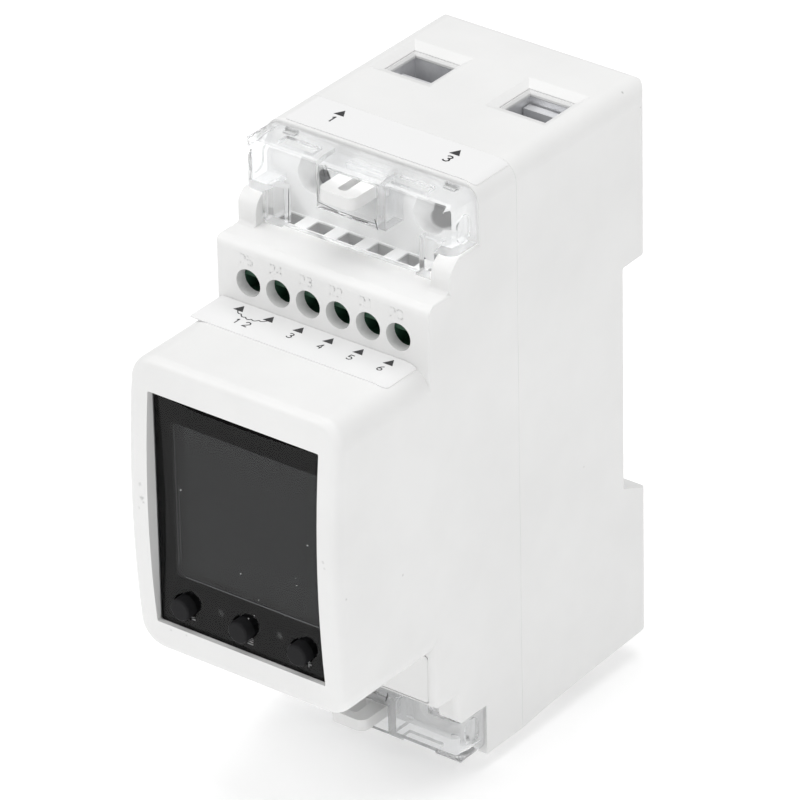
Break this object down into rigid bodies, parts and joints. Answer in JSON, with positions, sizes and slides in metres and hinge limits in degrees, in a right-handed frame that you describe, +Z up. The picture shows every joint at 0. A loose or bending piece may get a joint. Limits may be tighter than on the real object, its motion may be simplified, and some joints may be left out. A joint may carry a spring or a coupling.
{
  "type": "din rail energy meter",
  "caption": "Two-module rail-mounted electricity meter with a stepped white case, a bowed front with a dark display window, keys, clear terminal covers and screw terminals.",
  "frame": {"origin": "centre of the wall that seats on the mounting rail, at half the width", "axes": "+Z up along the front, +Y back towards the rail, +X to the right seen from the front"},
  "size_m": [0.036, 0.0704, 0.0893],
  "materials": {
    "housing_white": "satin moulded",
    "cover_clear": "polished clear",
    "window_clear": "polished tinted",
    "mask_black": "printed",
    "lcd_glass": "dark",
    "diffuser": "milky",
    "key_black": "satin",
    "light_guide": "clear",
    "board_green": "solder mask",
    "chip_black": "matte",
    "can_aluminium": "sleeved can",
    "ferrite": "wound, taped",
    "varistor_blue": "dipped",
    "relay_case": "moulded",
    "copper": "tinned copper strip",
    "manganin": "bare strip",
    "terminal_steel": "zinc plated",
    "screw_steel": "zinc plated",
    "terminal_green": "moulded",
    "contact_brass": "tinned",
    "spring_steel": "wire",
    "label_white": "printed film"
  },
  "bodies": {
    "housing": {"bridge_board": "board_green", "clamp_box_in_left": "terminal_steel", "clamp_box_in_right": "terminal_steel", "clamp_box_out_left": "terminal_steel", "clamp_box_out_right": "terminal_steel", "display_board": "board_green", "display_window": "window_clear", "front_housing": "housing_white", "latch_spring": "spring_steel", "latching_relay": "relay_case", "lcd_backlight": "diffuser", "lcd_panel": "lcd_glass", "ledge_label": "label_white", "line_in_busbar": "copper", "line_out_busbar": "copper", "main_board": "board_green", "metering_chip": "chip_black", "neutral_busbar": "copper", "radio_module": "board_green", "rear_housing": "housing_white", "relay_tail_strip": "copper", "shunt_resistor": "manganin", "signal_contacts": "contact_brass", "signal_terminal_block": "terminal_green", "smoothing_capacitors": "can_aluminium", "status_led_left": "light_guide", "status_led_right": "light_guide", "supply_transformer": "ferrite", "surge_varistor": "varistor_blue", "tactile_switches": "chip_black", "top_label": "label_white", "window_mask": "mask_black"},
    "minus_key": {"button_minus": "key_black"},
    "menu_key": {"button_menu": "key_black"},
    "plus_key": {"button_plus": "key_black"},
    "top_cover": {"top_terminal_cover": "cover_clear"},
    "bottom_cover": {"bottom_terminal_cover": "cover_clear"},
    "latch": {"rail_latch": "housing_white"},
    "plate_in_left": {"clamp_plate_in_left": "terminal_steel"},
    "screw_in_left": {"clamp_screw_in_left": "screw_steel"},
    "plate_in_right": {"clamp_plate_in_right": "terminal_steel"},
    "screw_in_right": {"clamp_screw_in_right": "screw_steel"},
    "plate_out_left": {"clamp_plate_out_left": "terminal_steel"},
    "screw_out_left": {"clamp_screw_out_left": "screw_steel"},
    "plate_out_right": {"clamp_plate_out_right": "terminal_steel"},
    "screw_out_right": {"clamp_screw_out_right": "screw_steel"},
    "cage_1": {"signal_clamp_1": "terminal_steel"},
    "small_screw_1": {"signal_screw_1": "screw_steel"},
    "cage_2": {"signal_clamp_2": "terminal_steel"},
    "small_screw_2": {"signal_screw_2": "screw_steel"},
    "cage_3": {"signal_clamp_3": "terminal_steel"},
    "small_screw_3": {"signal_screw_3": "screw_steel"},
    "cage_4": {"signal_clamp_4": "terminal_steel"},
    "small_screw_4": {"signal_screw_4": "screw_steel"},
    "cage_5": {"signal_clamp_5": "terminal_steel"},
    "small_screw_5": {"signal_screw_5": "screw_steel"},
    "cage_6": {"signal_clamp_6": "terminal_steel"},
    "small_screw_6": {"signal_screw_6": "screw_steel"}
  },
  "joints": [
    {"name": "minus_key_press", "type": "slide", "parent": "housing", "child": "minus_key", "axis": [0, 1, 0], "range_m": [0, 0.0004], "stiffness_N_per_m": 1500, "springref_m": -0.0002},
    {"name": "menu_key_press", "type": "slide", "parent": "housing", "child": "menu_key", "axis": [0, 1, 0], "range_m": [0, 0.0004], "stiffness_N_per_m": 1500, "springref_m": -0.0002},
    {"name": "plus_key_press", "type": "slide", "parent": "housing", "child": "plus_key", "axis": [0, 1, 0], "range_m": [0, 0.0004], "stiffness_N_per_m": 1500, "springref_m": -0.0002},
    {"name": "top_cover_pull", "type": "slide", "parent": "housing", "child": "top_cover", "axis": [0, -1, 0], "range_m": [0, 0.012]},
    {"name": "bottom_cover_pull", "type": "slide", "parent": "housing", "child": "bottom_cover", "axis": [0, -1, 0], "range_m": [0, 0.012]},
    {"name": "latch_pull", "type": "slide", "parent": "housing", "child": "latch", "axis": [0, 0, -1], "range_m": [0, 0.003], "stiffness_N_per_m": 300, "springref_m": -0.002, "deforming": ["latch_spring"]},
    {"name": "plate_in_left_travel", "type": "slide", "parent": "housing", "child": "plate_in_left", "axis": [0, 1, 0], "range_m": [-0.00055, 0.00275]},
    {"name": "screw_in_left_turn", "type": "hinge", "parent": "plate_in_left", "child": "screw_in_left", "pos_m": [-0.00976, -0.0203, 0.036], "axis": [0, 1, 0], "range_deg": [-248.5, 1238.5]},
    {"name": "plate_in_right_travel", "type": "slide", "parent": "housing", "child": "plate_in_right", "axis": [0, 1, 0], "range_m": [-0.00335, 0.0002]},
    {"name": "screw_in_right_turn", "type": "hinge", "parent": "plate_in_right", "child": "screw_in_right", "pos_m": [0.00976, -0.0203, 0.036], "axis": [0, 1, 0], "range_deg": [-1508.5, 91]},
    {"name": "plate_out_left_travel", "type": "slide", "parent": "housing", "child": "plate_out_left", "axis": [0, 1, 0], "range_m": [0, 0.0033]},
    {"name": "screw_out_left_turn", "type": "hinge", "parent": "plate_out_left", "child": "screw_out_left", "pos_m": [-0.00976, -0.0203, -0.0364], "axis": [0, 1, 0], "range_deg": [0, 1486]},
    {"name": "plate_out_right_travel", "type": "slide", "parent": "housing", "child": "plate_out_right", "axis": [0, 1, 0], "range_m": [0, 0.0033]},
    {"name": "screw_out_right_turn", "type": "hinge", "parent": "plate_out_right", "child": "screw_out_right", "pos_m": [0.00976, -0.0203, -0.0364], "axis": [0, 1, 0], "range_deg": [0, 1486]},
    {"name": "small_screw_1_turn", "type": "hinge", "parent": "housing", "child": "small_screw_1", "pos_m": [-0.01255, -0.0383, 0.0237], "axis": [0, 1, 0], "range_deg": [0, 1441]},
    {"name": "cage_1_travel", "type": "slide", "parent": "housing", "child": "cage_1", "axis": [0, -1, 0], "range_m": [0, 0.002]},
    {"name": "small_screw_2_turn", "type": "hinge", "parent": "housing", "child": "small_screw_2", "pos_m": [-0.00747, -0.0383, 0.0237], "axis": [0, 1, 0], "range_deg": [0, 1441]},
    {"name": "cage_2_travel", "type": "slide", "parent": "housing", "child": "cage_2", "axis": [0, -1, 0], "range_m": [0, 0.002]},
    {"name": "small_screw_3_turn", "type": "hinge", "parent": "housing", "child": "small_screw_3", "pos_m": [-0.00239, -0.0383, 0.0237], "axis": [0, 1, 0], "range_deg": [0, 1441]},
    {"name": "cage_3_travel", "type": "slide", "parent": "housing", "child": "cage_3", "axis": [0, -1, 0], "range_m": [0, 0.002]},
    {"name": "small_screw_4_turn", "type": "hinge", "parent": "housing", "child": "small_screw_4", "pos_m": [0.00269, -0.0383, 0.0237], "axis": [0, 1, 0], "range_deg": [0, 1441]},
    {"name": "cage_4_travel", "type": "slide", "parent": "housing", "child": "cage_4", "axis": [0, -1, 0], "range_m": [0, 0.002]},
    {"name": "small_screw_5_turn", "type": "hinge", "parent": "housing", "child": "small_screw_5", "pos_m": [0.00777, -0.0383, 0.0237], "axis": [0, 1, 0], "range_deg": [0, 1441]},
    {"name": "cage_5_travel", "type": "slide", "parent": "housing", "child": "cage_5", "axis": [0, -1, 0], "range_m": [0, 0.002]},
    {"name": "small_screw_6_turn", "type": "hinge", "parent": "housing", "child": "small_screw_6", "pos_m": [0.01285, -0.0383, 0.0237], "axis": [0, 1, 0], "range_deg": [0, 1441]},
    {"name": "cage_6_travel", "type": "slide", "parent": "housing", "child": "cage_6", "axis": [0, -1, 0], "range_m": [0, 0.002]}
  ],
  "couplings": [
    {"joint": "screw_in_left_turn", "follows": "plate_in_left_travel", "rad_per_m": 7854},
    {"joint": "screw_in_right_turn", "follows": "plate_in_right_travel", "rad_per_m": 7854},
    {"joint": "screw_out_left_turn", "follows": "plate_out_left_travel", "rad_per_m": 7854},
    {"joint": "screw_out_right_turn", "follows": "plate_out_right_travel", "rad_per_m": 7854},
    {"joint": "small_screw_1_turn", "follows": "cage_1_travel", "rad_per_m": 12566},
    {"joint": "small_screw_2_turn", "follows": "cage_2_travel", "rad_per_m": 12566},
    {"joint": "small_screw_3_turn", "follows": "cage_3_travel", "rad_per_m": 12566},
    {"joint": "small_screw_4_turn", "follows": "cage_4_travel", "rad_per_m": 12566},
    {"joint": "small_screw_5_turn", "follows": "cage_5_travel", "rad_per_m": 12566},
    {"joint": "small_screw_6_turn", "follows": "cage_6_travel", "rad_per_m": 12566}
  ]
}
